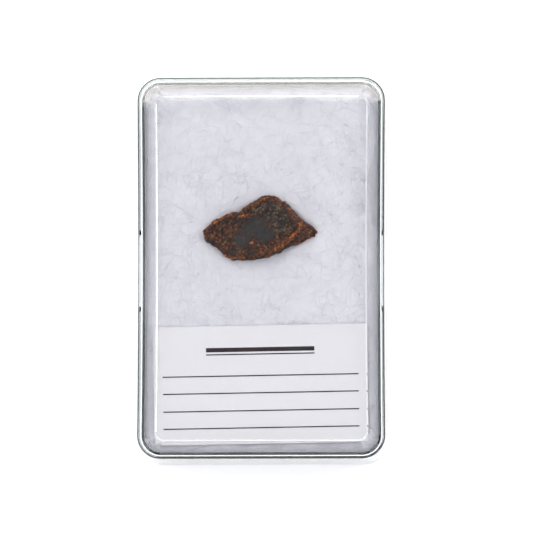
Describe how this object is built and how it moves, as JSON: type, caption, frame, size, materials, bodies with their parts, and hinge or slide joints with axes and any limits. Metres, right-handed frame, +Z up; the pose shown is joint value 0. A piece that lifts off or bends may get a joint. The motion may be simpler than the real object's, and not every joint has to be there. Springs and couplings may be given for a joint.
{
  "type": "boxed meteorite specimen",
  "caption": "Weathered stony meteorite fragment on cotton wadding with a paper slip, in a clear rounded display box with a lift-off lid.",
  "frame": {"origin": "middle of the box's footprint, on the underside of its tray", "axes": "+X across the box, +Y along it away from the paper slip, +Z up through the lid"},
  "size_m": [0.0428, 0.0658, 0.016],
  "materials": {
    "base": "clear, polished",
    "lid": "clear, polished",
    "wadding": "loose white cotton fibres",
    "meteorite": "rusty brown weathered stone with a dark patina",
    "label": "matt"
  },
  "bodies": {
    "root": {"base": "base", "lid": "lid", "wadding": "wadding", "meteorite": "meteorite", "label": "label"}
  },
  "joints": []
}
